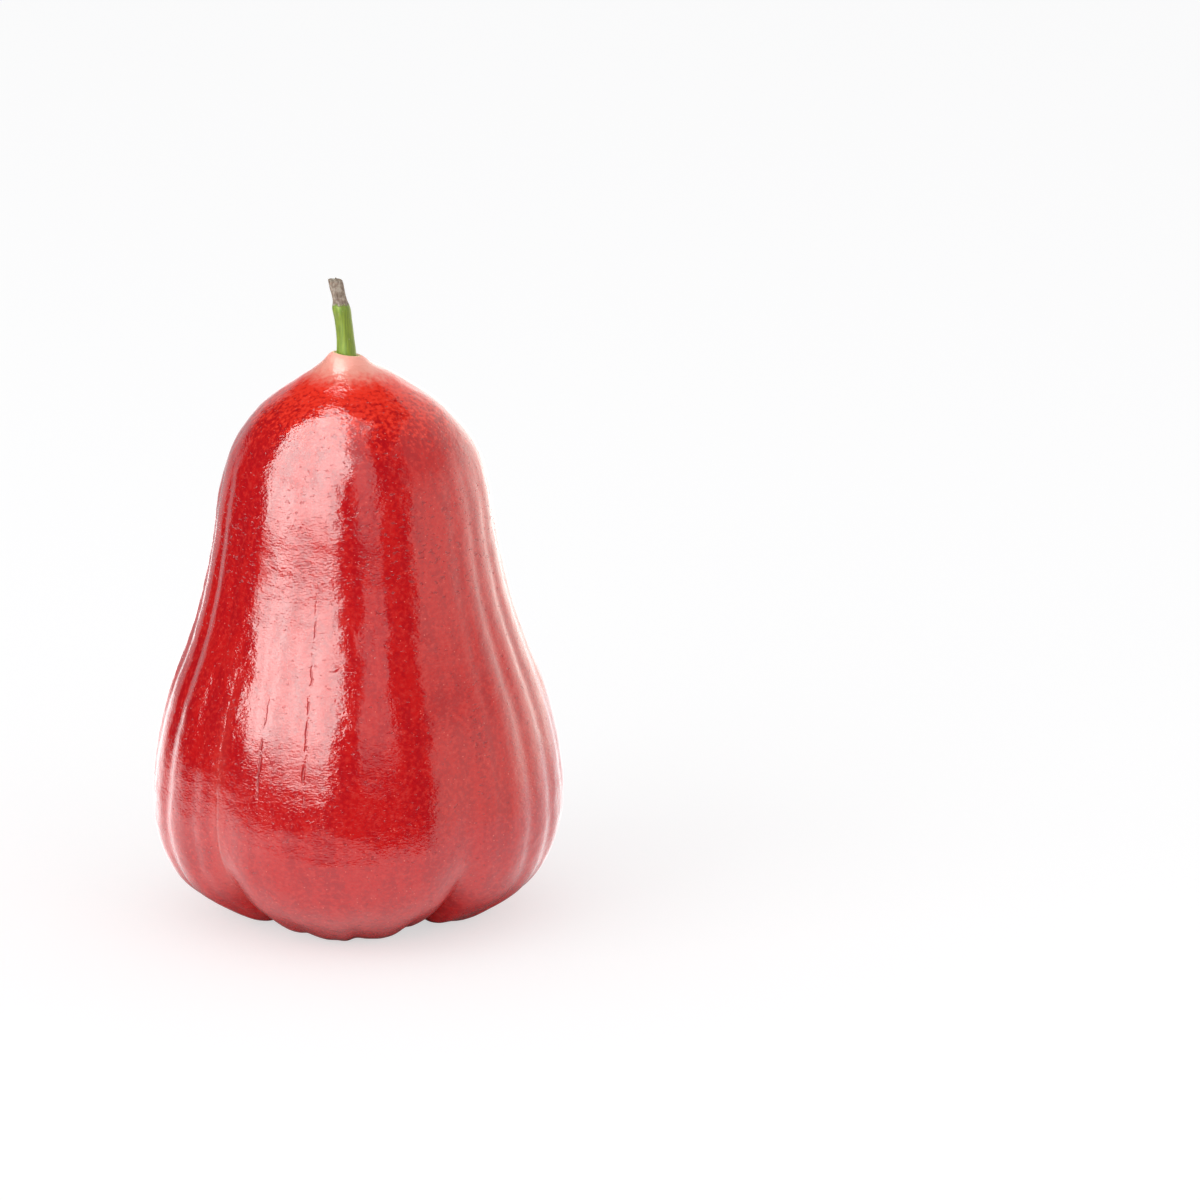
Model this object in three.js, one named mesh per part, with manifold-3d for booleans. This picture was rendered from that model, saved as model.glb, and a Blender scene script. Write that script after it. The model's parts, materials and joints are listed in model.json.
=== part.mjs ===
// A wax apple (rose apple): one bell-shaped fruit with four calyx lobes and its stalk.
// Millimetres, +Z up. The origin is on the resting plane, under the middle of the fruit.
import * as THREE from "three";
import { mergeVertices } from "three/addons/utils/BufferGeometryUtils.js";
import Module from "manifold-3d";

const wasm = await Module();
wasm.setup();

// Driving dimensions of the fruit. A radius is measured over the middle of a lobe.
const CROWN_HEIGHT = 96.6; // the top of the flesh, where the stalk stands
const NECK_RADIUS = 22.6;
const NECK_HEIGHT = 74;
const BELLY_RADIUS = 34.8; // the widest place
const BELLY_HEIGHT = 22;
const RIM_RADIUS = 18; // the ring that the lobes rest on
const RIM_WEAR = 0.4; // how far the resting spots are flattened
const BASIN_RADIUS = 8.6; // the hollow between the curled lobes
const BASIN_DEPTH = 12.5;
const CROWN_LEAN = -1.1; // the crown sits off the axis, towards -X
const LEAN_START = 74; // the height at which the lean begins

// The four creases between the lobes, as azimuths from -Y towards +X.
const CREASE_AZIMUTHS = [-42, 36, 125, 229];
const CREASE_DEPTH = 5.6; // at the rim, where a crease is deepest
const CREASE_SPREAD = 7; // the angle over which a lobe rounds off towards its crease
// Shallow ribs run down each lobe.
const FURROW_AZIMUTHS = [-82, -66, -52, -27, -13, 47, 59, 71, 98, 112, 150, 168, 187, 206, 247, 262];
const FURROW_DEPTH = 0.4;
const FURROW_SPREAD = 4;

// Driving dimensions of the stalk.
const STALK_RADIUS = 1.6;
const STALK_FOOT_FLARE = 0.15; // the foot is this much wider in radius
const STALK_TIP_TAPER = 0.15; // the cut end is this much narrower in radius
const STALK_LENGTH = 12.7; // above the crown
const STALK_LEAN = -1.9; // the cut end is this far off the foot, towards -X
const SOCKET_DEPTH = 1.5; // the stalk grows out of the flesh from this deep
const CLEARANCE = 0.3;

// How finely the surfaces are divided.
const ROWS = 38;
const COLUMNS_PER_LOBE = 20;
const STALK_RINGS = 10;
const STALK_SIDES = 12;

const TURN = 360;
const { degToRad, lerp, smoothstep } = THREE.MathUtils;

// Outline stations as radius and height, from the crown down the side and up into the basin.
const crown = [0, CROWN_HEIGHT];
const neck = [NECK_RADIUS, NECK_HEIGHT];
const belly = [BELLY_RADIUS, BELLY_HEIGHT];
const rim = [RIM_RADIUS, -RIM_WEAR];
const mouth = [BASIN_RADIUS, 6.5];
const floor = [0, BASIN_DEPTH];

// A point on the way from one station to the next, with the share of the crease depth there.
function between(from, to, radiusShare, heightShare, creaseShare) {
  const radius = lerp(from[0], to[0], radiusShare);
  const height = lerp(from[1], to[1], heightShare);
  return new THREE.Vector3(radius, height, creaseShare * CREASE_DEPTH);
}

// The outline over the middle of a lobe. The third coordinate carries the crease depth.
const outline = new THREE.CatmullRomCurve3(
  [
    between(crown, neck, 0, 0, 0),
    between(crown, neck, 0.115, 0.005, 0),
    between(crown, neck, 0.175, 0.07, 0),
    between(crown, neck, 0.39, 0.2, 0),
    between(crown, neck, 0.69, 0.41, 0),
    between(crown, neck, 0.9, 0.69, 0),
    between(neck, belly, 0, 0, 0.01),
    between(neck, belly, 0.11, 0.17, 0.02),
    between(neck, belly, 0.27, 0.35, 0.04),
    between(neck, belly, 0.5, 0.52, 0.06),
    between(neck, belly, 0.78, 0.7, 0.1),
    between(neck, belly, 0.96, 0.9, 0.16),
    between(belly, rim, 0.01, 0.22, 0.28),
    between(belly, rim, 0.21, 0.62, 0.58),
    between(belly, rim, 0.64, 0.89, 0.85),
    between(rim, mouth, 0, 0, 1),
    between(rim, mouth, 0.6, 0.2, 1),
    between(rim, mouth, 0.95, 0.7, 0.8),
    between(mouth, floor, 0.02, 0.35, 0.4),
    between(mouth, floor, 0.3, 0.8, 0.1),
    between(mouth, floor, 1, 1, 0),
  ],
  false,
  "catmullrom",
  0.5,
);

function angleBetween(first, second) {
  const turned = Math.abs(first - second) % TURN;
  return Math.min(turned, TURN - turned);
}

// One at a crease, falling to nothing over the middle of a lobe.
function creaseWeight(azimuth) {
  const nearest = Math.min(...CREASE_AZIMUTHS.map((crease) => angleBetween(azimuth, crease)));
  return Math.exp(-nearest / CREASE_SPREAD);
}

// One at a furrow, falling to nothing on the rib beside it.
function furrowWeight(azimuth) {
  const dips = FURROW_AZIMUTHS.map((furrow) => {
    return Math.exp(-((angleBetween(azimuth, furrow) / FURROW_SPREAD) ** 2));
  });
  return Math.max(...dips);
}

// How far the axis of the fruit has leaned over at a height.
function leanAt(height) {
  const rise = THREE.MathUtils.clamp((height - LEAN_START) / (CROWN_HEIGHT - LEAN_START), 0, 1);
  return CROWN_LEAN * rise * rise;
}

// A point of the skin. Creases and furrows push it into the flesh, square to the outline.
function skinPoint(along, azimuth) {
  const { x: radius, y: height, z: creaseDepth } = outline.getPoint(along);
  const tangent = outline.getTangent(along).setZ(0).normalize();
  const furrowFade = smoothstep(along, 0.2, 0.5) * (1 - smoothstep(along, 0.7, 0.82));
  const furrow = FURROW_DEPTH * furrowFade * furrowWeight(azimuth);
  const inset = creaseDepth * creaseWeight(azimuth) + furrow;
  const pushedRadius = Math.max(radius + inset * tangent.y, 0);
  const pushedHeight = height - inset * tangent.x;
  const turn = degToRad(azimuth);
  const x = pushedRadius * Math.sin(turn) + leanAt(pushedHeight);
  return new THREE.Vector3(x, -pushedRadius * Math.cos(turn), pushedHeight);
}

// A closed surface through rings of points, listed from the top ring to the bottom one.
function closedLoft(topTip, rings, bottomTip) {
  const columns = rings[0].length;
  const points = [topTip, ...rings.flat(), bottomTip];
  const last = points.length - 1;
  const at = (row, column) => 1 + row * columns + (column % columns);
  const indices = [];
  for (let column = 0; column < columns; column += 1) {
    indices.push(0, at(0, column), at(0, column + 1));
    for (let row = 0; row < rings.length - 1; row += 1) {
      const above = [at(row, column), at(row, column + 1)];
      const below = [at(row + 1, column), at(row + 1, column + 1)];
      indices.push(above[0], below[0], below[1]);
      indices.push(above[0], below[1], above[1]);
    }
    indices.push(last, at(rings.length - 1, column + 1), at(rings.length - 1, column));
  }
  const geometry = new THREE.BufferGeometry().setFromPoints(points);
  geometry.setIndex(indices);
  return geometry;
}

// manifold-3d takes a closed mesh that holds only positions, with its shared corners merged.
function toSolid(geometry) {
  const bare = geometry.clone();
  bare.deleteAttribute("normal");
  bare.deleteAttribute("uv");
  const merged = mergeVertices(bare);
  const vertProperties = new Float32Array(merged.attributes.position.array);
  const triVerts = new Uint32Array(merged.index.array);
  return new wasm.Manifold(new wasm.Mesh({ numProp: 3, vertProperties, triVerts }));
}

function toGeometry(solid) {
  const mesh = solid.getMesh();
  const geometry = new THREE.BufferGeometry();
  geometry.setAttribute("position", new THREE.BufferAttribute(mesh.vertProperties, 3));
  geometry.setIndex(new THREE.BufferAttribute(mesh.triVerts, 1));
  geometry.computeVertexNormals();
  return geometry;
}

// Columns are evenly spread over each lobe, so that every crease has a column of its own.
function columnAzimuths() {
  return CREASE_AZIMUTHS.flatMap((crease, lobe) => {
    const next = CREASE_AZIMUTHS[lobe + 1] ?? CREASE_AZIMUTHS[0] + TURN;
    return Array.from({ length: COLUMNS_PER_LOBE }, (_, step) => {
      return lerp(crease, next, step / COLUMNS_PER_LOBE);
    });
  });
}

function fleshGeometry() {
  const azimuths = columnAzimuths();
  const rings = [];
  for (let row = 1; row < ROWS; row += 1) {
    rings.push(azimuths.map((azimuth) => skinPoint(row / ROWS, azimuth)));
  }
  return closedLoft(skinPoint(0, 0), rings, skinPoint(1, 0));
}

// The block below the resting plane, which takes the wear off the lobes.
function groundGeometry() {
  const side = 4 * BELLY_RADIUS;
  const depth = BELLY_RADIUS;
  const ground = new THREE.BoxGeometry(side, side, depth);
  return ground.translate(0, 0, -depth / 2);
}

// The round hole in the crown that holds the foot of the stalk with a little clearance.
function socketGeometry() {
  const radius = STALK_RADIUS + STALK_FOOT_FLARE + CLEARANCE;
  const depth = SOCKET_DEPTH + CLEARANCE;
  const socket = new THREE.CylinderGeometry(radius, radius, 2 * depth, 2 * STALK_SIDES);
  return socket.rotateX(Math.PI / 2).translate(CROWN_LEAN, 0, CROWN_HEIGHT);
}

function makeFruit() {
  const flesh = toSolid(fleshGeometry());
  const worn = flesh.subtract(toSolid(groundGeometry()));
  const fruit = worn.subtract(toSolid(socketGeometry()));
  const skin = new THREE.MeshStandardMaterial({ color: 0xb01c1e, roughness: 0.22, metalness: 0 });
  const mesh = new THREE.Mesh(toGeometry(fruit), skin);
  mesh.name = "fruit";
  return mesh;
}

// The stalk rises straight out of its socket and then bends over. Its own origin is its foot.
function makeStalk() {
  const height = SOCKET_DEPTH + STALK_LENGTH;
  const foot = new THREE.Vector3(0, 0, 0);
  const bend = new THREE.Vector3(0, 0, height / 2);
  const tip = new THREE.Vector3(STALK_LEAN, 0, height);
  const centre = new THREE.QuadraticBezierCurve3(foot, bend, tip);
  const rings = [];
  for (let step = STALK_RINGS; step >= 0; step -= 1) {
    const along = step / STALK_RINGS;
    const flare = STALK_FOOT_FLARE * (1 - smoothstep(along, 0.1, 0.3));
    const radius = STALK_RADIUS + flare - STALK_TIP_TAPER * along;
    const middle = centre.getPoint(along);
    const ring = Array.from({ length: STALK_SIDES }, (_, side) => {
      const turn = (2 * Math.PI * side) / STALK_SIDES;
      return new THREE.Vector3(radius * Math.sin(turn), -radius * Math.cos(turn), 0).add(middle);
    });
    rings.push(ring);
  }
  const bark = new THREE.MeshStandardMaterial({ color: 0x8f9c48, roughness: 0.7, metalness: 0 });
  const geometry = closedLoft(tip, rings, foot);
  geometry.computeVertexNormals();
  const mesh = new THREE.Mesh(geometry, bark);
  mesh.name = "stalk";
  mesh.position.set(CROWN_LEAN, 0, CROWN_HEIGHT - SOCKET_DEPTH);
  return mesh;
}

const waxApple = new THREE.Group();
waxApple.add(makeFruit(), makeStalk());

export default waxApple;
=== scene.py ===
# %% [markdown]
# # A wax apple
#
# A wax apple, or rose apple, is a bell-shaped fruit with a thin glossy skin. Its wide end closes
# in four fat calyx lobes, which curl in round a small basin, and it stands on them. A short green
# stalk with a dried cut end is left on the crown.
#
# The CAD model gives the sizes. Everything here is in metres, in the same frame: +Z is up, the
# origin is on the resting plane, and azimuths turn from -Y towards +X.

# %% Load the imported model
import json
import math

import bpy
import numpy as np
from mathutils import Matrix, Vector, noise

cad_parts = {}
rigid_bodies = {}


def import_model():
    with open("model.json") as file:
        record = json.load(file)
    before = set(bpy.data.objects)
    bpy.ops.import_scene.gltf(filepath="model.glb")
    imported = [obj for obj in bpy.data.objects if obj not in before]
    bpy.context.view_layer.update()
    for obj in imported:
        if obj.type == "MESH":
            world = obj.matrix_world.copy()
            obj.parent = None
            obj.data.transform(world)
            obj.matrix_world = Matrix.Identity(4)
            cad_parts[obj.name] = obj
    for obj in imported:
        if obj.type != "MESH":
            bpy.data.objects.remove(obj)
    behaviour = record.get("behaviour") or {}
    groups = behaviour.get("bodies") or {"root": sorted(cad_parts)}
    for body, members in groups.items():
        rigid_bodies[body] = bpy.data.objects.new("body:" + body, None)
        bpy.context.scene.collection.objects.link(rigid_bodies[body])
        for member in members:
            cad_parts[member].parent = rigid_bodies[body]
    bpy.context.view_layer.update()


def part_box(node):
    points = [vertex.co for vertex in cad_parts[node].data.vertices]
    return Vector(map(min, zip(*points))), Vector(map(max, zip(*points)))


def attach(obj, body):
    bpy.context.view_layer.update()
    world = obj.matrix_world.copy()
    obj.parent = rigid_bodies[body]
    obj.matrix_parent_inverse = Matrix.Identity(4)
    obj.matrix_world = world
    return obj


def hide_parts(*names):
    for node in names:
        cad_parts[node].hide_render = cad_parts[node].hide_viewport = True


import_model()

# %% [markdown]
# ## Sizes
#
# The fruit and the stalk take their overall sizes from the CAD nodes, so they always fit their
# boxes. The stations of the outline, the creases and the furrows are the ones that the CAD model
# has: they are the form of the fruit, and a box doesn't tell them.

# %% Sizes of the fruit
MM = 0.001
fruit_low, fruit_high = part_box("fruit")
stalk_low, stalk_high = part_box("stalk")

CROWN_HEIGHT = fruit_high.z
BELLY_RADIUS = (fruit_high.x - fruit_low.x) / 2
CROWN_LEAN = -1.1 * MM
LEAN_START = 74 * MM
COLLAR_TILT = 0.35 * MM
CREASE_AZIMUTHS = [-42, 36, 125, 229]
CREASE_DEPTH = 5.6 * MM
CREASE_SPREAD = 7.0
FURROWS = {
    -82: 0.4, -66: 0.5, -52: 0.4, -27: 0.12, -13: 0.14, 9: 0.06, 47: 0.2, 59: 0.35, 71: 0.32, 85: 0.22,
    98: 0.4, 112: 0.35, 138: 0.3, 150: 0.45, 168: 0.4, 187: 0.4, 206: 0.5, 217: 0.25, 247: 0.45, 262: 0.4,
}
FURROW_SPREAD = 3.0
RIM_NOTCHES = {-21: 0.55, 3: 0.45, 23: 0.6, 55: 0.4, 78: 0.5, 100: 0.4, 150: 0.5, 177: 0.5, 204: 0.5,
               252: 0.5, 275: 0.45, 296: 0.5}
NOTCH_SPREAD = 4.5
WRINKLE_DEPTH = 0.22 * MM
print("crown at", round(CROWN_HEIGHT / MM, 2), "mm, belly radius", round(BELLY_RADIUS / MM, 2), "mm")

# %% The outline's stations, from the crown down the side and up into the basin
crown = (0, CROWN_HEIGHT)
neck = (22.6 * MM, 74 * MM)
belly = (BELLY_RADIUS, 22 * MM)
rim = (18 * MM, -0.4 * MM)
mouth = (8.6 * MM, 6.5 * MM)
floor_centre = (0, 12.5 * MM)


def between(start, end, radius_share, height_share, crease_share):
    """A point of the outline, with the share of the crease depth that it has."""
    radius = start[0] + (end[0] - start[0]) * radius_share
    height = start[1] + (end[1] - start[1]) * height_share
    return radius, height, crease_share * CREASE_DEPTH


STATIONS = np.array([
    (0, CROWN_HEIGHT - 0.9 * MM, 0),
    (1.1 * MM, CROWN_HEIGHT - 0.9 * MM, 0),
    (1.65 * MM, CROWN_HEIGHT - 0.55 * MM, 0),
    (2.15 * MM, CROWN_HEIGHT - 0.02 * MM, 0),
    (3 * MM, CROWN_HEIGHT - 0.45 * MM, 0),
    (4.5 * MM, CROWN_HEIGHT - 1.8 * MM, 0),
    between(crown, neck, 0.39, 0.2, 0),
    between(crown, neck, 0.69, 0.41, 0),
    between(crown, neck, 0.9, 0.69, 0),
    between(neck, belly, 0, 0, 0.01),
    between(neck, belly, 0.11, 0.17, 0.02),
    between(neck, belly, 0.27, 0.35, 0.04),
    between(neck, belly, 0.5, 0.52, 0.06),
    between(neck, belly, 0.78, 0.7, 0.1),
    between(neck, belly, 0.96, 0.9, 0.16),
    between(belly, rim, 0.01, 0.22, 0.28),
    between(belly, rim, 0.21, 0.62, 0.58),
    between(belly, rim, 0.64, 0.89, 0.85),
    between(rim, mouth, 0, 0, 1),
    between(rim, mouth, 0.6, 0.2, 1),
    between(rim, mouth, 0.95, 0.7, 0.8),
    between(mouth, floor_centre, 0.02, 0.35, 0.4),
    between(mouth, floor_centre, 0.3, 0.8, 0.1),
    between(mouth, floor_centre, 1, 1, 0),
])


def outline(along):
    """Radius, height and crease depth at shares along the outline, and its slope there."""
    spans = len(STATIONS) - 1
    place = np.clip(along, 0, 1) * spans
    span = np.minimum(place.astype(int), spans - 1)
    part = (place - span)[:, None]
    ends = (2 * STATIONS[0] - STATIONS[1], 2 * STATIONS[-1] - STATIONS[-2])
    knots = np.vstack([ends[0], STATIONS, ends[1]])
    a, b, c, d = (knots[span + step] for step in range(4))
    linear, square, cube = c - a, 2 * a - 5 * b + 4 * c - d, 3 * b - a - 3 * c + d
    point = b + (linear * part + square * part**2 + cube * part**3) / 2
    slope = (linear + 2 * square * part + 3 * cube * part**2)[:, :2] / 2
    return point, slope / np.linalg.norm(slope, axis=1)[:, None]


# %% [markdown]
# ## Turning the body
#
# A fruit like this starts as a body of revolution. It could be spun from an outline or blown up
# from a sphere. Here a circle is extruded ring by ring down the outline, each ring scaled to its
# radius, because the rings then lie where the outline bends most, and a ring number says how far
# along the outline a point is.


# %% A closed body of rings
def bare_selection():
    if bpy.context.mode != "OBJECT":
        bpy.ops.object.mode_set(mode="OBJECT")
    bpy.ops.object.select_all(action="DESELECT")


def stack_rings(name, rings, sides):
    """Extrudes a circle through (radius, centre) rings, and closes both ends with a fan."""
    bare_selection()
    radius, centre = rings[0]
    bpy.ops.mesh.primitive_circle_add(vertices=sides, radius=radius, location=centre)
    body = bpy.context.object
    body.name = name
    bpy.ops.object.transform_apply(location=True, rotation=True, scale=True)
    bpy.ops.object.mode_set(mode="EDIT")
    bpy.ops.mesh.select_all(action="SELECT")
    bpy.ops.mesh.edge_face_add()
    bpy.ops.mesh.poke()
    bpy.ops.mesh.select_all(action="DESELECT")
    bpy.ops.mesh.select_mode(type="EDGE")
    bpy.ops.mesh.select_non_manifold(use_wire=False, use_boundary=True, use_multi_face=False)
    for new_radius, new_centre in rings[1:]:
        bpy.ops.mesh.extrude_region_move(TRANSFORM_OT_translate={"value": new_centre - centre})
        share = new_radius / radius
        bpy.ops.transform.resize(value=(share, share, 1), center_override=new_centre)
        radius, centre = new_radius, new_centre
    bpy.ops.mesh.edge_face_add()
    bpy.ops.mesh.poke()
    bpy.ops.mesh.select_all(action="SELECT")
    bpy.ops.mesh.normals_make_consistent(inside=False)
    bpy.ops.object.mode_set(mode="OBJECT")
    return body


def finish_with(piece, kind, **settings):
    """Adds a modifier, sets it and applies it."""
    bare_selection()
    piece.select_set(True)
    bpy.context.view_layer.objects.active = piece
    modifier = piece.modifiers.new(kind.title(), kind)
    for name, value in settings.items():
        setattr(modifier, name, value)
    bpy.ops.object.modifier_apply(modifier=modifier.name)


# %% Points and attributes as arrays
def points_of(piece):
    flat = np.empty(len(piece.data.vertices) * 3)
    piece.data.vertices.foreach_get("co", flat)
    return flat.reshape(-1, 3)


def move_points(piece, points):
    piece.data.vertices.foreach_set("co", points.ravel())
    piece.data.update()


def store(piece, name, values):
    """Keeps a number at each vertex, where subdivision and the materials find it."""
    attribute = piece.data.attributes.get(name)
    if attribute is None:
        attribute = piece.data.attributes.new(name, "FLOAT", "POINT")
    attribute.data.foreach_set("value", np.asarray(values, np.float32))


def stored(piece, name):
    values = np.empty(len(piece.data.vertices), np.float32)
    piece.data.attributes[name].data.foreach_get("value", values)
    return values.astype(float)


# %% The plain body of the fruit
RINGS = 78
SIDES = 72
SUBDIVISIONS = 2
LEAST_SPAN = 1.5 * MM


def ring_places():
    """Shares along the outline, close together where its stations are close."""
    fine = np.linspace(0, 1, 2000)
    spans = len(STATIONS) - 1
    points = outline(fine)[0][:, :2]
    steps = np.linalg.norm(np.diff(points, axis=0), axis=1)
    weight = steps + LEAST_SPAN * spans * np.diff(fine)
    travelled = np.concatenate([[0], np.cumsum(weight)])
    shares = np.linspace(0, travelled[-1], RINGS + 2)[1:-1]
    return np.interp(shares, travelled, fine)


places = ring_places()
ring_points = outline(places)[0]
fruit_rings = [(point[0], Vector((0, 0, point[1]))) for point in ring_points]
fruit = stack_rings("fruit_skin", fruit_rings, SIDES)

points = points_of(fruit)
radii = np.hypot(points[:, 0], points[:, 1])
gaps = np.hypot(radii[:, None] - ring_points[:, 0], points[:, 2][:, None] - ring_points[:, 1])
along = places[np.argmin(gaps, axis=1)]
tips = radii < 1e-6
along[tips] = np.where(points[tips, 2] > neck[1], 0, 1)
store(fruit, "along", along)
finish_with(fruit, "SUBSURF", levels=SUBDIVISIONS, render_levels=SUBDIVISIONS)
print("fruit body:", len(fruit.data.vertices), "vertices,", len(fruit.data.polygons), "faces")

# %% [markdown]
# ## Lobes, creases and furrows
#
# The plain body is pushed in along four creases, a lot at the rim and hardly at all at the neck,
# which leaves four lobes. Shallow furrows run down each lobe. This is a sculptor's job, done here
# with numbers: each point moves square to the outline, by depths that depend on its azimuth.


# %% Push the creases and furrows in
def smooth_step(value, start, end):
    share = np.clip((value - start) / (end - start), 0, 1)
    return share * share * (3 - 2 * share)


def angle_between(first, second):
    turned = np.abs(first - second) % 360
    return np.minimum(turned, 360 - turned)


def lobe_azimuths(points):
    """Spreads the columns evenly over each lobe, so that every crease has a column of its own."""
    columns = SIDES * 2**SUBDIVISIONS
    turned = np.degrees(np.arctan2(points[:, 0], -points[:, 1])) % 360
    column = np.round(turned / 360 * columns) % columns
    lobe = column / columns * len(CREASE_AZIMUTHS)
    creases = np.array(CREASE_AZIMUTHS + [CREASE_AZIMUTHS[0] + 360])
    return np.interp(lobe, np.arange(len(creases)), creases)


def nearest_gap(azimuth, centres):
    return np.min([angle_between(azimuth, centre) for centre in centres], axis=0)


def dips(azimuth, depths, spread):
    """The deepest of several soft dips, given as {azimuth: depth in mm}."""
    rounds = [depth * MM * np.exp(-((angle_between(azimuth, a) / spread) ** 2)) for a, depth in depths.items()]
    return np.max(rounds, axis=0)


azimuth = lobe_azimuths(points_of(fruit))
turn = np.radians(azimuth)
along = stored(fruit, "along")
point, slope = outline(along)
last = len(STATIONS) - 1
neck_share = np.argmax(STATIONS[:, 0] >= neck[0]) / last
rim_share = np.argmin(STATIONS[:, 1]) / last

gap = nearest_gap(azimuth, CREASE_AZIMUTHS)
soft_crease = np.exp(-((gap / (1.3 * CREASE_SPREAD)) ** 2))
sharp_crease = np.exp(-gap / CREASE_SPREAD)
low = smooth_step(along, rim_share - 0.16, rim_share - 0.04)
crease = soft_crease + (sharp_crease - soft_crease) * low
wander = np.array([1.2 * noise.noise(Vector((0, 0, height / MM / 14))) for height in point[:, 1]])
furrow_fade = smooth_step(along, neck_share - 0.1, neck_share + 0.16)
furrow_fade *= 1 - smooth_step(along, rim_share - 0.08, rim_share)
furrows = dips(azimuth + wander, FURROWS, FURROW_SPREAD) * furrow_fade
at_rim = smooth_step(along, rim_share - 0.12, rim_share - 0.02)
at_rim *= 1 - smooth_step(along, rim_share + 0.08, rim_share + 0.2)
wrinkles = np.cos(27 * turn + 1.7 * np.sin(3 * turn)) + np.cos(41 * turn + 2 * np.sin(2 * turn))
rim_dips = dips(azimuth, RIM_NOTCHES, NOTCH_SPREAD) + WRINKLE_DEPTH * (wrinkles + 2) / 4

inset = point[:, 2] * crease + furrows + rim_dips * at_rim
radius = np.maximum(point[:, 0] + inset * slope[:, 1], 0)
height = point[:, 1] - inset * slope[:, 0]
collar = smooth_step(radius, 1.5 * MM, 2.2 * MM) * (1 - smooth_step(radius, 3 * MM, 7 * MM))
height -= COLLAR_TILT * collar * np.sin(turn - 0.4)
rise = np.clip((height - LEAN_START) / (CROWN_HEIGHT - LEAN_START), 0, 1)
across = radius * np.sin(turn) + CROWN_LEAN * rise**2
move_points(fruit, np.stack([across, -radius * np.cos(turn), height], axis=1))
store(fruit, "furrow_fade", furrow_fade)
print("deepest crease", round(float(inset.max() / MM), 2), "mm")

# %% [markdown]
# ## A grown surface
#
# Nothing that grew is quite even. Two Displace modifiers with cloud textures dent the skin, one
# with slow swells and one with small ripples. After them, nothing may stand out past the fruit's
# widest radius, and what hangs below the resting plane is flattened to it, as the fruit's own weight does.


# %% Swells and ripples
def cloud(name, size, depth):
    texture = bpy.data.textures.new(name, "CLOUDS")
    texture.noise_scale = size
    texture.noise_depth = depth
    return texture


finish_with(fruit, "DISPLACE", texture=cloud("swells", 13 * MM, 1), strength=0.4 * MM, mid_level=0.6)
finish_with(fruit, "DISPLACE", texture=cloud("ripples", 3.2 * MM, 1), strength=0.08 * MM, mid_level=0.6)

points = points_of(fruit)
widest = BELLY_RADIUS - 0.05 * MM
points[:, :2] *= np.minimum(widest / np.hypot(points[:, 0], points[:, 1]).clip(MM), 1)[:, None]
points[:, 2] = np.maximum(points[:, 2], 0)
move_points(fruit, points)
bpy.ops.object.shade_smooth()
print("fruit box", np.round(points.min(0) / MM, 2), np.round(points.max(0) / MM, 2))

# %% [markdown]
# ## The stalk
#
# The stalk is stacked from rings too, along a line that bends over towards -X. Its lower part is
# green and round, with a few soft ridges. Its end dried after it was cut: it shrank, and it is
# ragged.

# %% Stack and roughen the stalk
STALK_SIDES = 24
STALK_RINGS = 26
STALK_RADIUS = 1.6 * MM
FOOT_FLARE = 0.15 * MM
DRY_START = 0.68
foot = Vector((CROWN_LEAN, 0, stalk_low.z))
bend = Vector((CROWN_LEAN, 0, (stalk_low.z + stalk_high.z) / 2))
tip = Vector((CROWN_LEAN - 1.9 * MM, 0, stalk_high.z))


def stalk_centre(share):
    """A point of the stalk's middle line, which is a quadratic curve from foot to tip."""
    return foot.lerp(bend, share).lerp(bend.lerp(tip, share), share)


def stalk_radius(share):
    flare = FOOT_FLARE * (1 - smooth_step(share, 0.1, 0.3))
    shrink = 0.22 * MM * smooth_step(share, DRY_START - 0.04, DRY_START + 0.05)
    knot = 0.12 * MM * math.exp(-(((share - DRY_START + 0.06) / 0.07) ** 2))
    return STALK_RADIUS + flare - shrink + knot - 0.1 * MM * share


stalk_shares = np.linspace(0, 1, STALK_RINGS)
stalk_rings = [(float(stalk_radius(share)), stalk_centre(share)) for share in stalk_shares]
stalk = stack_rings("stalk_bark", stalk_rings, STALK_SIDES)
finish_with(stalk, "SUBSURF", levels=2, render_levels=2)

points = points_of(stalk)
share = np.clip((points[:, 2] - foot.z) / (tip.z - foot.z), 0, 1)
middle = np.array([stalk_centre(s) for s in share])
out = points - middle
side = np.arctan2(out[:, 0], -out[:, 1])
dry = smooth_step(share, DRY_START - 0.02, DRY_START + 0.03)
ridges = 0.015 * np.cos(5 * side + 2 * share) + 0.02 * np.cos(3 * side - 1)
ragged = np.array([noise.noise(Vector((3.2 * math.cos(a), 3.2 * math.sin(a), 7 * s))) for a, s in zip(side, share)])
out[:, :2] *= (1 - 0.05 + ridges + dry * (0.1 * ragged - 0.03))[:, None]
points = middle + out
torn = smooth_step(share, 0.965, 1)
points[:, 2] -= torn * 0.5 * MM * (0.5 + ragged)
points[:, 2] = np.minimum(points[:, 2], stalk_high.z)
move_points(stalk, points)
store(stalk, "share", share)
bpy.ops.object.shade_smooth()
print("stalk:", len(stalk.data.polygons), "faces, top at", round(float(points[:, 2].max() / MM), 2), "mm")

# %% [markdown]
# ## Tools for the materials
#
# Short helpers keep the node trees readable: one adds a node and fills its inputs with values or
# links, one does sums, one fades between two numbers and one mixes colours.


# %% Node helpers
def put(tree, kind, inputs=(), **settings):
    """Adds a node, and fills its inputs by name or number with values or links."""
    node = tree.nodes.new(kind)
    for name, value in settings.items():
        setattr(node, name, value)
    filled = inputs.items() if isinstance(inputs, dict) else enumerate(inputs)
    for key, value in filled:
        if isinstance(value, bpy.types.NodeSocket):
            tree.links.new(value, node.inputs[key])
        else:
            node.inputs[key].default_value = value
    return node


def calc(tree, operation, *terms):
    return put(tree, "ShaderNodeMath", terms, operation=operation).outputs[0]


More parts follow.
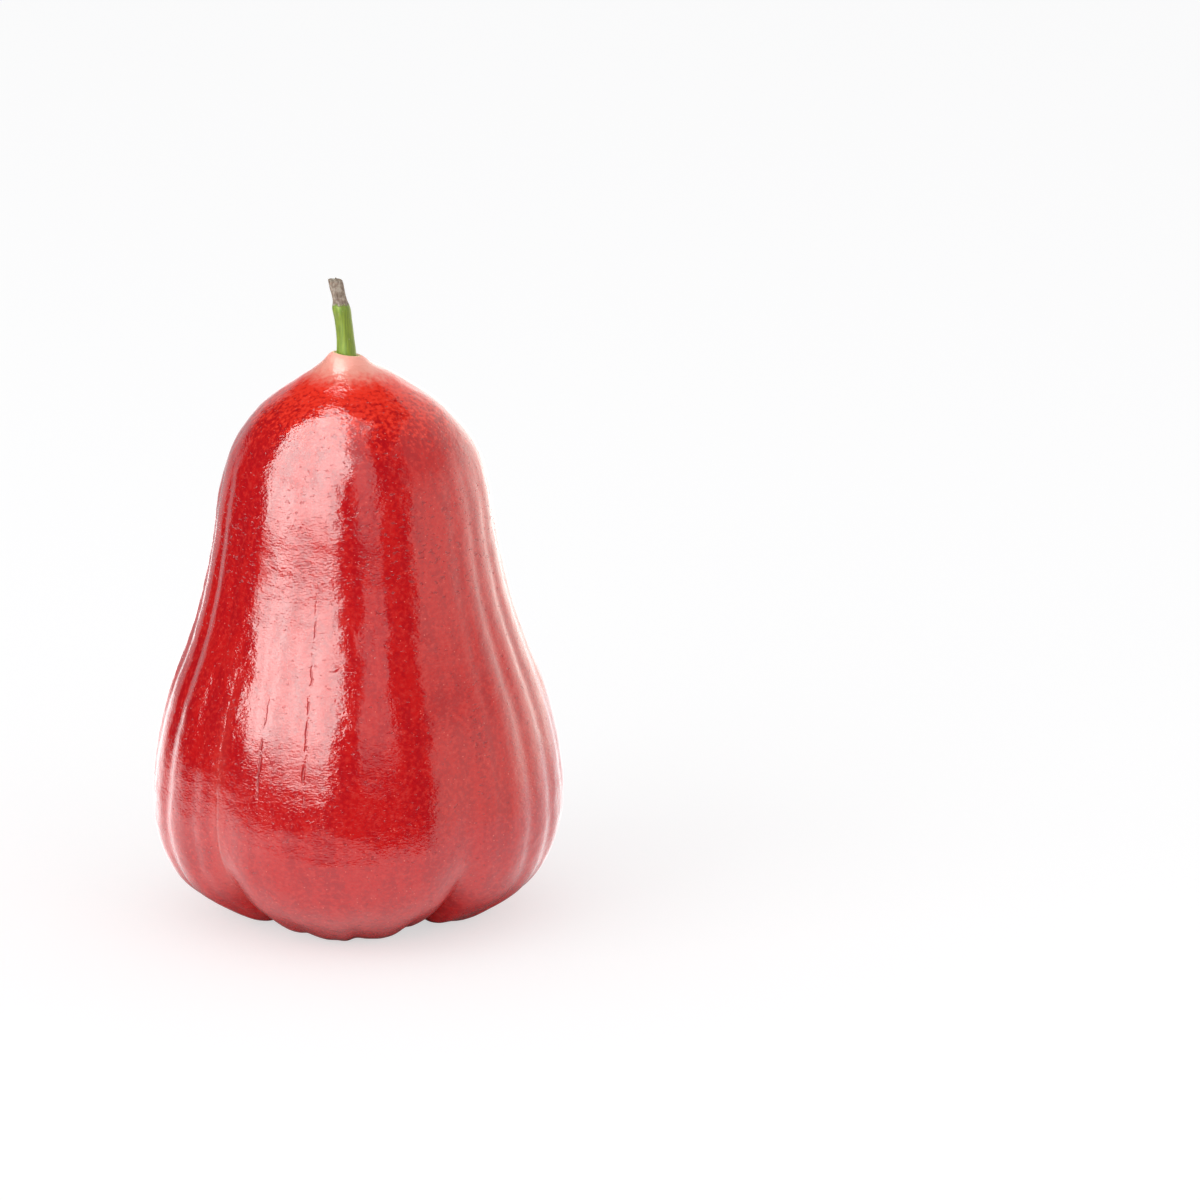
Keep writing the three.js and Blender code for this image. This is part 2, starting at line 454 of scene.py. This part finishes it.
def fade(tree, value, start, end, low=0.0, high=1.0):
    """From low at start to high at end, with a soft beginning and end."""
    inputs = (value, start, end, low, high)
    return put(tree, "ShaderNodeMapRange", inputs, interpolation_type="SMOOTHSTEP").outputs[0]


def mix(tree, share, first, second):
    inputs = {0: share, 6: first, 7: second}
    return put(tree, "ShaderNodeMix", inputs, data_type="RGBA").outputs[2]


def new_group(name, inputs, outputs):
    """An empty shader group with named float inputs (name: default) and outputs, and its ends."""
    group = bpy.data.node_groups.new(name, "ShaderNodeTree")
    for label, default in inputs.items():
        kind = "NodeSocketVector" if default is None else "NodeSocketFloat"
        socket = group.interface.new_socket(label, in_out="INPUT", socket_type=kind)
        if default is not None:
            socket.default_value = default
    for label in outputs:
        group.interface.new_socket(label, in_out="OUTPUT", socket_type="NodeSocketFloat")
    start = group.nodes.new("NodeGroupInput").outputs
    end = group.nodes.new("NodeGroupOutput").inputs
    return group, start, end


def use(tree, group, inputs):
    """Adds a node group with its named inputs filled, and gives its outputs."""
    return put(tree, "ShaderNodeGroup", inputs, node_tree=group).outputs


def new_material(name):
    material = bpy.data.materials.new(name)
    material.use_nodes = True
    tree = material.node_tree
    return material, tree, tree.nodes["Principled BSDF"]


# %% [markdown]
# ## Effects that both skins share
#
# Dots are the pale flecks of a fruit's skin and the pores of a green stalk: a Voronoi texture
# gives cells, and each cell's own random number says how large its dot is.
# Streaks are long soft marks that run with the growth, from noise squeezed along Z. The third group
# tells how far a point is from a line that runs down the fruit at one azimuth.


# %% Dots, streaks and lines
def make_dots():
    group, start, end = new_group(
        "dots", {"Vector": None, "Spacing": MM, "Size": 0.3, "Share": 0.5}, ["Mask"])
    scale = calc(group, "DIVIDE", 1.0, start["Spacing"])
    cells = put(group, "ShaderNodeTexVoronoi", {"Vector": start["Vector"], "Scale": scale})
    chance = put(group, "ShaderNodeSeparateColor", {"Color": cells.outputs["Color"]}).outputs
    there = calc(group, "LESS_THAN", chance[0], start["Share"])
    size = calc(group, "MULTIPLY", start["Size"], fade(group, chance[1], 0.0, 1.0, 0.45, 1.0))
    half = calc(group, "MULTIPLY", size, 0.5)
    dot = fade(group, cells.outputs["Distance"], half, size, 1.0, 0.0)
    group.links.new(calc(group, "MULTIPLY", dot, there), end["Mask"])
    return group


def make_streaks():
    group, start, end = new_group(
        "streaks", {"Vector": None, "Width": MM, "Length": 10 * MM}, ["Amount"])
    parts = put(group, "ShaderNodeSeparateXYZ", {"Vector": start["Vector"]}).outputs
    squeezed = calc(group, "MULTIPLY", parts[2], calc(group, "DIVIDE", start["Width"], start["Length"]))
    vector = put(group, "ShaderNodeCombineXYZ", (parts[0], parts[1], squeezed)).outputs[0]
    scale = calc(group, "DIVIDE", 1.0, start["Width"])
    grain = put(group, "ShaderNodeTexNoise", {"Vector": vector, "Scale": scale, "Detail": 3.0})
    group.links.new(grain.outputs["Fac"], end["Amount"])
    return group


def make_line():
    group, start, end = new_group("line", {"Vector": None, "Azimuth": 0.0, "Wander": 0.6 * MM}, ["Distance"])
    x, y, z = put(group, "ShaderNodeSeparateXYZ", {"Vector": start["Vector"]}).outputs
    turn = calc(group, "ARCTAN2", x, calc(group, "MULTIPLY", y, -1.0))
    gap = calc(group, "WRAP", calc(group, "SUBTRACT", turn, start["Azimuth"]), math.pi, -math.pi)
    level_vector = put(group, "ShaderNodeCombineXYZ", {"X": x, "Y": y}).outputs[0]
    radius = put(group, "ShaderNodeVectorMath", (level_vector,), operation="LENGTH").outputs["Value"]
    place = put(group, "ShaderNodeCombineXYZ", {"X": start["Azimuth"], "Z": z}).outputs[0]
    sway = put(group, "ShaderNodeTexNoise", {"Vector": place, "Scale": 260.0, "Detail": 4.0}).outputs["Fac"]
    shift = calc(group, "MULTIPLY", calc(group, "SUBTRACT", sway, 0.5), start["Wander"])
    across = calc(group, "ADD", calc(group, "MULTIPLY", gap, radius), shift)
    group.links.new(calc(group, "ABSOLUTE", across), end["Distance"])
    return group


DOTS = make_dots()
STREAKS = make_streaks()
LINE = make_line()

# %% [markdown]
# ## The skin
#
# Most of the skin is a deep, clear red. It turns orange towards the crown and pale round the
# stalk, where the leaves shaded it, and tan in the basin. Close up it is never smooth: it has the
# fine bumps of an orange's peel, small pits, pale flecks and a thin line down each furrow. The
# gloss shows the bumps, because it breaks up the edge of every reflection. The pits and the
# furrow lines are also painted a darker red, which is painted shade, and the creases low on the
# lobes are painted paler, which is a painted sheen.

# %% Colours of the skin
DEEP_RED = (0.54, 0.009, 0.0095, 1)
DARK_RED = (0.43, 0.005, 0.009, 1)
ORANGE_RED = (0.86, 0.033, 0.016, 1)
PALE_PINK = (0.92, 0.36, 0.285, 1)
LIP_CREAM = (0.9, 0.68, 0.36, 1)
# The pink of the pale flecks, and of the painted sheen along the creases.
FLECK_AND_SHEEN_PINK = (0.85, 0.17, 0.13, 1)
# The darker red that is painted into the pits and furrow slits as painted shade.
PAINTED_SHADE_RED = (0.3, 0.005, 0.009, 1)
TAN = (0.5, 0.2, 0.09, 1)


def colour_of_skin(tree, coords, marks):
    """The red, its change towards the crown, the flecks, painted shade in the pits and slits, and a painted sheen
    along the creases.
    """
    height = put(tree, "ShaderNodeSeparateXYZ", {"Vector": coords}).outputs[2]
    streaks = use(tree, STREAKS, {"Vector": coords, "Width": 2.2 * MM, "Length": 30 * MM})["Amount"]
    grain = put(tree, "ShaderNodeTexNoise", {"Vector": coords, "Scale": 1400.0, "Detail": 2.0}).outputs["Fac"]
    uneven = calc(tree, "MULTIPLY", calc(tree, "ADD", streaks, grain), 0.5)
    red = mix(tree, fade(tree, uneven, 0.38, 0.58), DARK_RED, DEEP_RED)
    ragged = use(tree, STREAKS, {"Vector": coords, "Width": 0.8 * MM, "Length": 3 * MM})["Amount"]
    lift = calc(tree, "MULTIPLY", calc(tree, "SUBTRACT", ragged, 0.5), 2.4 * MM)
    place = calc(tree, "SUBTRACT", calc(tree, "ADD", height, lift), CROWN_HEIGHT)
    mottled = calc(tree, "MULTIPLY_ADD", calc(tree, "SUBTRACT", grain, 0.5), 22 * MM, place)
    warm = mix(tree, fade(tree, mottled, -12.5 * MM, -4 * MM), red, ORANGE_RED)
    pale = mix(tree, fade(tree, place, -4.6 * MM, -1.6 * MM), warm, PALE_PINK)
    lip = mix(tree, fade(tree, marks["along"], 0.12, 0.16, 1.0, 0.0), pale, LIP_CREAM)
    flecked = mix(tree, fade(tree, grain, 0.5, 0.7, 0.0, 0.08), lip, FLECK_AND_SHEEN_PINK)
    flecked = mix(tree, calc(tree, "MULTIPLY", marks["flecks"], 0.6), flecked, FLECK_AND_SHEEN_PINK)
    # Painted sheen: the creases low on the lobes are painted a paler pink along their lines.
    painted_crease_sheen = calc(tree, "MULTIPLY", fade(tree, marks["crease"], 0.0, 2.5 * MM, 0.12, 0.0), marks["low"])
    with_crease_sheen = mix(tree, painted_crease_sheen, flecked, FLECK_AND_SHEEN_PINK)
    # Painted shade: the pits and the furrow slits are painted a darker red.
    shaded_in_dents = mix(tree, calc(tree, "MULTIPLY", marks["dents"], 0.75), with_crease_sheen, PAINTED_SHADE_RED)
    return mix(tree, fade(tree, marks["along"], 0.88, 0.94), shaded_in_dents, TAN)


# %% The skin's fine relief
PEEL_SIZE = 0.6 * MM
PEEL_DEPTH = 0.045 * MM
CRINKLE_SIZE = 2.8 * MM
CRINKLE_DEPTH = 0.11 * MM
PIT_DEPTH = 0.03 * MM
CREASE_LINE_DEPTH = 0.05 * MM
SLIT_SLOPE = 0.3
SQUASH = 1.9


def relief_of_skin(tree, coords, squashed, marks):
    """The height of the skin in metres: peel, crinkles, pits and lines together."""
    inputs = {"Vector": squashed, "Scale": 1 / PEEL_SIZE, "Detail": 2.0, "Roughness": 0.5}
    peel = put(tree, "ShaderNodeTexNoise", inputs).outputs["Fac"]
    inputs = {"Vector": coords, "Scale": 1 / CRINKLE_SIZE, "Detail": 1.0}
    crinkles = put(tree, "ShaderNodeTexNoise", inputs).outputs["Fac"]
    height = calc(tree, "MULTIPLY_ADD", peel, PEEL_DEPTH, calc(tree, "MULTIPLY", crinkles, CRINKLE_DEPTH))
    height = calc(tree, "MULTIPLY", height, fade(tree, marks["along"], 0.12, 0.3, 0.3, 1.0))
    height = calc(tree, "MULTIPLY", height, marks["coarse"])
    height = calc(tree, "MULTIPLY_ADD", marks["pits"], -PIT_DEPTH, height)
    slit = calc(tree, "MULTIPLY", fade(tree, marks["crease"], 0.0, 0.5 * MM, 1.0, 0.0), marks["low"])
    height = calc(tree, "MULTIPLY_ADD", slit, -CREASE_LINE_DEPTH, height)
    return calc(tree, "MULTIPLY_ADD", marks["line"], -SLIT_SLOPE, height)


# %% Make the skin
# Azimuth of each slit: the height it starts from, and its half width there and at the belly, in mm.
FURROW_SLITS = {-13: (66, 0.22, 0.4), -27: (46, 0.22, 0.5), 155: (62, 0.24, 0.4)}
# Azimuth of each row of dents, with its lower and upper height in mm.
DENT_ROWS = {42: (29, 48), 210: (30, 55)}
CREASE_LINES = [-42, 229]


def attribute(tree, name):
    return put(tree, "ShaderNodeAttribute", attribute_name=name).outputs["Fac"]


def line_distance(tree, coords, azimuth, wander):
    inputs = {"Vector": coords, "Azimuth": math.radians((azimuth + 180) % 360 - 180), "Wander": wander}
    return use(tree, LINE, inputs)["Distance"]


def nearest_crease(tree, coords):
    """How far a point is from the nearest of the creases that close to a line."""
    distances = [line_distance(tree, coords, azimuth, 1.0 * MM) for azimuth in CREASE_LINES]
    nearest = distances[0]
    for distance in distances[1:]:
        nearest = calc(tree, "MINIMUM", nearest, distance)
    return nearest


def furrow_lines(tree, coords, height, broken):
    """The depth in metres of the broken slits in a few furrows, each from its own height down."""
    depths = 0.0
    for azimuth, (top, narrow, wide) in FURROW_SLITS.items():
        width = fade(tree, height, 26 * MM, top * MM, wide * MM, narrow * MM)
        slit = fade(tree, line_distance(tree, coords, azimuth, 1.6 * MM), 0.0, width, 1.0, 0.0)
        below = fade(tree, height, (top - 6) * MM, (top + 2) * MM, width, 0.0)
        depths = calc(tree, "MAXIMUM", depths, calc(tree, "MULTIPLY", slit, below))
    depths = calc(tree, "MULTIPLY", depths, fade(tree, height, 24 * MM, 33 * MM))
    whole = calc(tree, "ADD", broken, fade(tree, height, 32 * MM, 46 * MM, 0.06, 0.0))
    return calc(tree, "MULTIPLY", depths, fade(tree, whole, 0.41, 0.55))


def make_skin():
    material, tree, shader = new_material("wax_apple_skin")
    coords = put(tree, "ShaderNodeTexCoord").outputs["Object"]
    squash = put(tree, "ShaderNodeMapping", {"Vector": coords, "Scale": (1, 1, SQUASH)})
    squashed = squash.outputs["Vector"]
    height = put(tree, "ShaderNodeSeparateXYZ", {"Vector": coords}).outputs[2]
    marks = {"along": attribute(tree, "along"), "low": fade(tree, height, 25 * MM, 55 * MM, 1.0, 0.0)}
    marks["coarse"] = fade(tree, height, 26 * MM, 44 * MM, 1.35, 1.0)
    flecks = {"Vector": coords, "Spacing": 0.8 * MM, "Size": 0.2, "Share": 0.55}
    marks["flecks"] = use(tree, DOTS, flecks)["Mask"]
    wrinkled = calc(tree, "MULTIPLY", fade(tree, height, 58 * MM, 64 * MM),
                    fade(tree, height, 74 * MM, 82 * MM, 1.0, 0.0))
    least = calc(tree, "MULTIPLY_ADD", wrinkled, -0.06, 0.685)
    for azimuth, (low_end, high_end) in DENT_ROWS.items():
        near = fade(tree, line_distance(tree, coords, azimuth, 2 * MM), 0.7 * MM, 2.0 * MM, -0.1, 0.0)
        inside = fade(tree, height, (low_end - 3) * MM, (low_end + 3) * MM)
        inside = calc(tree, "MULTIPLY", inside, fade(tree, height, (high_end - 5) * MM, high_end * MM, 1.0, 0.0))
        least = calc(tree, "MULTIPLY_ADD", near, inside, least)
    flat = put(tree, "ShaderNodeMapping", {"Vector": coords, "Scale": (1, 1, 2.3)}).outputs["Vector"]
    dashes = put(tree, "ShaderNodeTexNoise", {"Vector": flat, "Scale": 950.0, "Detail": 1.5}).outputs["Fac"]
    dashes = fade(tree, calc(tree, "SUBTRACT", dashes, least), 0.0, 0.05)
    below_crown = fade(tree, height, CROWN_HEIGHT - 7 * MM, CROWN_HEIGHT - 4 * MM, 1.0, 0.0)
    marks["pits"] = calc(tree, "MULTIPLY", dashes, below_crown)
    marks["crease"] = nearest_crease(tree, coords)
    broken = put(tree, "ShaderNodeTexNoise", {"Vector": coords, "Scale": 450.0, "Detail": 4.0}).outputs["Fac"]
    lines = furrow_lines(tree, coords, height, broken)
    marks["line"] = calc(tree, "MULTIPLY", lines, attribute(tree, "furrow_fade"))
    # The pits and the slits: they are rougher, and the colour paints them darker as painted shade.
    dents = calc(tree, "MAXIMUM", marks["pits"], fade(tree, marks["line"], 0.0, 0.35 * MM))
    marks["dents"] = dents
    tree.links.new(colour_of_skin(tree, coords, marks), shader.inputs["Base Color"])
    relief = relief_of_skin(tree, coords, squashed, marks)
    bump = put(tree, "ShaderNodeBump", {"Strength": 1.0, "Distance": 1.0, "Height": relief})
    tree.links.new(bump.outputs["Normal"], shader.inputs["Normal"])
    waxy = fade(tree, broken, 0.3, 0.7, 0.06, 0.12)
    roughness = calc(tree, "ADD", waxy, fade(tree, marks["along"], 0.14, 0.25, 0.55, 0.0))
    roughness = calc(tree, "MULTIPLY_ADD", dents, 0.22, roughness)
    tree.links.new(roughness, shader.inputs["Roughness"])
    shader.inputs["IOR"].default_value = 1.52
    return material


fruit.data.materials.clear()
fruit.data.materials.append(make_skin())
print("skin made")

# %% [markdown]
# ## The stalk's bark
#
# The stalk is a fresh green below and a dry grey brown at its end, with a ragged border between
# the two. Fibres run up it, deep in the dry part and faint in the green one.

# %% Make the bark
FRESH_GREEN = (0.195, 0.27, 0.01, 1)
DEEP_GREEN = (0.12, 0.185, 0.007, 1)
DRY_BROWN = (0.2, 0.14, 0.1, 1)
DRY_GREY = (0.34, 0.28, 0.22, 1)
SCORCHED = (0.08, 0.045, 0.03, 1)


def make_bark():
    material, tree, shader = new_material("stalk_bark")
    coords = put(tree, "ShaderNodeTexCoord").outputs["Object"]
    fibres = use(tree, STREAKS, {"Vector": coords, "Width": 0.28 * MM, "Length": 3 * MM})["Amount"]
    tufts = put(tree, "ShaderNodeTexNoise", {"Vector": coords, "Scale": 1600.0, "Detail": 3.0}).outputs[0]
    pores = use(tree, DOTS, {"Vector": coords, "Spacing": 0.6 * MM, "Size": 0.3, "Share": 0.3})["Mask"]
    ragged = calc(tree, "MULTIPLY", calc(tree, "SUBTRACT", tufts, 0.5), 0.1)
    place = calc(tree, "ADD", attribute(tree, "share"), ragged)
    dry = fade(tree, place, DRY_START - 0.01, DRY_START + 0.02)
    green = mix(tree, fade(tree, fibres, 0.35, 0.65), DEEP_GREEN, FRESH_GREEN)
    green = mix(tree, calc(tree, "MULTIPLY", pores, 0.35), green, DRY_GREY)
    brown = mix(tree, fade(tree, tufts, 0.4, 0.62), DRY_BROWN, DRY_GREY)
    brown = mix(tree, fade(tree, fibres, 0.58, 0.7), brown, SCORCHED)
    tree.links.new(mix(tree, dry, green, brown), shader.inputs["Base Color"])
    depth = fade(tree, dry, 0.0, 1.0, 0.02 * MM, 0.14 * MM)
    height = calc(tree, "MULTIPLY", calc(tree, "ADD", fibres, tufts), depth)
    bump = put(tree, "ShaderNodeBump", {"Strength": 1.0, "Distance": 1.0, "Height": height})
    tree.links.new(bump.outputs["Normal"], shader.inputs["Normal"])
    tree.links.new(fade(tree, dry, 0.0, 1.0, 0.5, 0.85), shader.inputs["Roughness"])
    return material


stalk.data.materials.clear()
stalk.data.materials.append(make_bark())

# %% [markdown]
# ## Pieces and bodies
#
# Both pieces ride on the one body and stand for their CAD nodes.

# %% Tie the pieces to the frame
for piece, node, slot in ((fruit, "fruit", "skin"), (stalk, "stalk", "stalk")):
    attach(piece, "root")
    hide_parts(node)
    print(piece.name, "stands for", node)

# %% [markdown]
# ## The studio
#
# The fruit stands on a plain white table. What makes a glossy fruit look real is what it
# reflects: a tall bright softbox at the left, a faint one in the middle, a wide white wall at the
# right, and the dark room between them. These only matter as reflections: the two softboxes are
# panels that only the gloss sees, and the wall and the dark room are painted on the world. The
# soft even light comes from the world's white and three lamps.

# %% A pale floor
FLOOR_SIZE = 12.0
NEAR_FLOOR = 0.204
NEAR_FLOOR_CENTRE = Vector((-0.03, 0.09, 0))


def make_floor():
    material, tree, shader = new_material("pale_floor")
    tree.nodes.remove(shader)
    coords = put(tree, "ShaderNodeTexCoord").outputs["Object"]
    x = put(tree, "ShaderNodeSeparateXYZ", {"Vector": coords}).outputs[0]
    squeezed = put(tree, "ShaderNodeVectorMath", (coords, (0.75, 1, 1)), operation="MULTIPLY").outputs[0]
    away = put(tree, "ShaderNodeVectorMath", (squeezed,), operation="LENGTH").outputs["Value"]
    shifted = put(tree, "ShaderNodeVectorMath", (coords, NEAR_FLOOR_CENTRE), operation="DISTANCE")
    far = fade(tree, shifted.outputs["Value"], NEAR_FLOOR * 0.98, NEAR_FLOOR * 1.02)
    matt = put(tree, "ShaderNodeBsdfDiffuse", {"Color": (0.45, 0.45, 0.455, 1)}).outputs[0]
    base = put(tree, "ShaderNodeEmission", {"Color": (1, 1, 1, 1), "Strength": 0.6}).outputs[0]
    lit = put(tree, "ShaderNodeAddShader", (matt, base)).outputs[0]
    bounce = put(tree, "ShaderNodeBsdfDiffuse", {"Color": (0.95, 0.95, 0.95, 1)}).outputs[0]
    # What the gloss sees of the near floor is a painted reflection: it glows, brighter at the left, and is dark
    # close round the fruit, which is a painted contact shadow.
    brighter_left = fade(tree, x, -0.075, -0.03, 2.0, 1.35)
    strength = calc(tree, "MULTIPLY", brighter_left, fade(tree, away, 0.02, 0.033))
    glow = put(tree, "ShaderNodeEmission", {"Color": (1, 0.98, 0.98, 1), "Strength": strength}).outputs[0]
    painted_reflection_floor = put(tree, "ShaderNodeAddShader", (matt, glow)).outputs[0]
    clear = put(tree, "ShaderNodeBsdfTransparent").outputs[0]
    mirrored = put(tree, "ShaderNodeMixShader", (far, painted_reflection_floor, clear)).outputs[0]
    rays = put(tree, "ShaderNodeLightPath").outputs
    other = put(tree, "ShaderNodeMixShader", (rays["Is Glossy Ray"], bounce, mirrored)).outputs[0]
    seen = put(tree, "ShaderNodeMixShader", (rays["Is Camera Ray"], other, lit)).outputs[0]
    tree.links.new(seen, tree.nodes["Material Output"].inputs["Surface"])
    return material


bare_selection()
bpy.ops.mesh.primitive_plane_add(size=FLOOR_SIZE, location=(0, 0, 0))
floor = bpy.context.object
floor.name = "floor"
floor.data.materials.append(make_floor())

# %% The room that the gloss reflects
WHITE = 1.55
DARK = 0.03


def degrees_band(tree, angle, low, high, soft=1.5):
    """One where an angle is between low and high, both in degrees, with soft edges."""
    low, high, soft = math.radians(low), math.radians(high), math.radians(soft)
    enter = fade(tree, angle, low - soft, low + soft)
    leave = fade(tree, angle, high - soft, high + soft, 1.0, 0.0)
    return calc(tree, "MULTIPLY", enter, leave)


def level(tree, share, first, second):
    """Mixes two brightnesses."""
    return put(tree, "ShaderNodeMix", {0: share, 2: first, 3: second}, data_type="FLOAT").outputs[0]


def make_room():
    world = bpy.data.worlds.new("studio")
    bpy.context.scene.world = world
    world.use_nodes = True
    tree = world.node_tree
    tree.nodes.clear()
    way = put(tree, "ShaderNodeTexCoord").outputs["Generated"]
    x, y, z = put(tree, "ShaderNodeSeparateXYZ", {"Vector": way}).outputs
    azimuth = calc(tree, "ARCTAN2", x, calc(tree, "MULTIPLY", y, -1.0))
    elevation = calc(tree, "ARCSINE", z)
    towards = put(tree, "ShaderNodeVectorMath", (way, (0.64, 0.77, 0)), operation="DOT_PRODUCT")
    right = fade(tree, towards.outputs["Value"], 0.5, 0.97, WHITE, 2.6)
    right = calc(tree, "MULTIPLY", right, fade(tree, z, 0.1, 0.5, 1.0, 0.5))
    wall = level(tree, fade(tree, x, -0.3, 0.0, 1.0, 0.0), right, 0.6)
    window = calc(tree, "MULTIPLY", degrees_band(tree, azimuth, -128, 52, 1.5),
                  degrees_band(tree, elevation, -44, 78, 2))
    high = calc(tree, "MULTIPLY", degrees_band(tree, azimuth, -155, -100, 3),
                degrees_band(tree, elevation, 12, 78, 3))
    window = calc(tree, "MAXIMUM", window, high)
    ceiling = calc(tree, "MULTIPLY", fade(tree, z, 0.72, 0.78), fade(tree, x, 0.46, 0.54, 1.0, 0.0))
    room = level(tree, calc(tree, "MAXIMUM", window, ceiling), wall, DARK)
    tint = mix(tree, fade(tree, x, -0.3, 0.6), (0.99, 0.98, 1, 1), (1, 0.96, 0.88, 1))
    mirrored = put(tree, "ShaderNodeBackground", {"Color": tint, "Strength": room}).outputs[0]
    soft = put(tree, "ShaderNodeBackground", {"Color": (1, 1, 1, 1), "Strength": 0.76}).outputs[0]
    plain = put(tree, "ShaderNodeBackground", {"Color": (0.942, 0.942, 0.945, 1), "Strength": 1.0}).outputs[0]
    rays = put(tree, "ShaderNodeLightPath").outputs
    lit = put(tree, "ShaderNodeMixShader", (rays["Is Glossy Ray"], soft, mirrored)).outputs[0]
    seen = put(tree, "ShaderNodeMixShader", (rays["Is Camera Ray"], lit, plain)).outputs[0]
    output = put(tree, "ShaderNodeOutputWorld")
    tree.links.new(seen, output.inputs["Surface"])


make_room()


# %% Two panels that only the gloss sees
PANEL_FOOT = 0.22
PANEL_HEAD = (-0.012, 0.56)
PANEL_HEAD_SHARE = 1.0


def make_panel_glow(name, strength):
    """Light that is a little uneven, as behind a cloth."""
    material, tree, shader = new_material(name)
    tree.nodes.remove(shader)
    coords = put(tree, "ShaderNodeTexCoord").outputs["Object"]
    cloth = put(tree, "ShaderNodeTexNoise", {"Vector": coords, "Scale": 38.0, "Detail": 3.0}).outputs["Fac"]
    glow = fade(tree, cloth, 0.3, 0.7, 0.6 * strength, 1.4 * strength)
    light = put(tree, "ShaderNodeEmission", {"Color": (0.87, 1, 0.98, 1), "Strength": glow}).outputs[0]
    tree.links.new(light, tree.nodes["Material Output"].inputs["Surface"])
    return material


def make_panel(name, low, high, foot_height, strength):
    """A panel between two azimuths, that leans over the fruit from its foot to its head."""
    bare_selection()
    middle = math.radians((low + high) / 2)
    out = Vector((math.sin(middle), -math.cos(middle), 0))
    side = Vector((math.cos(middle), math.sin(middle), 0))
    half = PANEL_FOOT * math.tan(math.radians((high - low) / 2))
    bpy.ops.mesh.primitive_plane_add(size=1)
    panel = bpy.context.object
    panel.name = name
    corners = []
    for share_side, share_up in ((-1, 0), (1, 0), (-1, 1), (1, 1)):
        away = PANEL_FOOT + (PANEL_HEAD[0] - PANEL_FOOT) * share_up
        up = foot_height + (PANEL_HEAD[1] - foot_height) * share_up
        wide = half * (1 + (PANEL_HEAD_SHARE - 1) * share_up)
        corners.append(out * away + side * wide * share_side + Vector((0, 0, up)))
    move_points(panel, np.array([list(corner) for corner in corners]))
    panel.data.materials.append(make_panel_glow(name, strength))
    panel.visible_camera = False
    panel.visible_diffuse = False
    panel.visible_shadow = False


make_panel("tall_panel", -74, -13.5, 0.06, 10.0)
make_panel("faint_panel", 6.5, 21, 0.066, 1.6)


# %% Two soft lamps
def softbox(name, place, size, power, target):
    """A square area light that faces the target. The gloss sees the painted room instead of it."""
    lamp = bpy.data.lights.new(name, "AREA")
    lamp.shape = "SQUARE"
    lamp.size = size
    lamp.energy = power
    body = bpy.data.objects.new(name, lamp)
    bpy.context.scene.collection.objects.link(body)
    body.location = place
    body.rotation_euler = (Vector(target) - Vector(place)).to_track_quat("-Z", "Y").to_euler()
    body.visible_glossy = False
    return body


softbox("key_softbox", (-0.9, -0.6, 0.7), 0.9, 3.0, (0, 0, 0.05))
softbox("low_softbox", (-0.45, -0.85, 0.15), 0.6, 2.3, (0, 0, 0.02))
softbox("fill_softbox", (0.7, -0.7, 0.4), 0.8, 1.3, (0, 0, 0.05))

# %% [markdown]
# ## The camera
#
# A long lens from a metre away, a little above the fruit, looking down at it by 15 degrees. The
# fruit stands left of the middle of the frame.

# %% Aim the camera
DISTANCE = 1.0
LOOK_DOWN = math.radians(15)
FOCAL_LENGTH = 178.2
AIM = Vector((41.06 * MM, 0, 47 * MM + 6.95 * MM))

camera_data = bpy.data.cameras.new("camera")
camera_data.lens = FOCAL_LENGTH
camera_data.sensor_width = 36
camera = bpy.data.objects.new("camera", camera_data)
bpy.context.scene.collection.objects.link(camera)
camera.location = AIM + DISTANCE * Vector((0, -math.cos(LOOK_DOWN), math.sin(LOOK_DOWN)))
camera.rotation_euler = (math.pi / 2 - LOOK_DOWN, 0, 0)
bpy.context.scene.camera = camera
bpy.context.scene.view_settings.view_transform = "Standard"
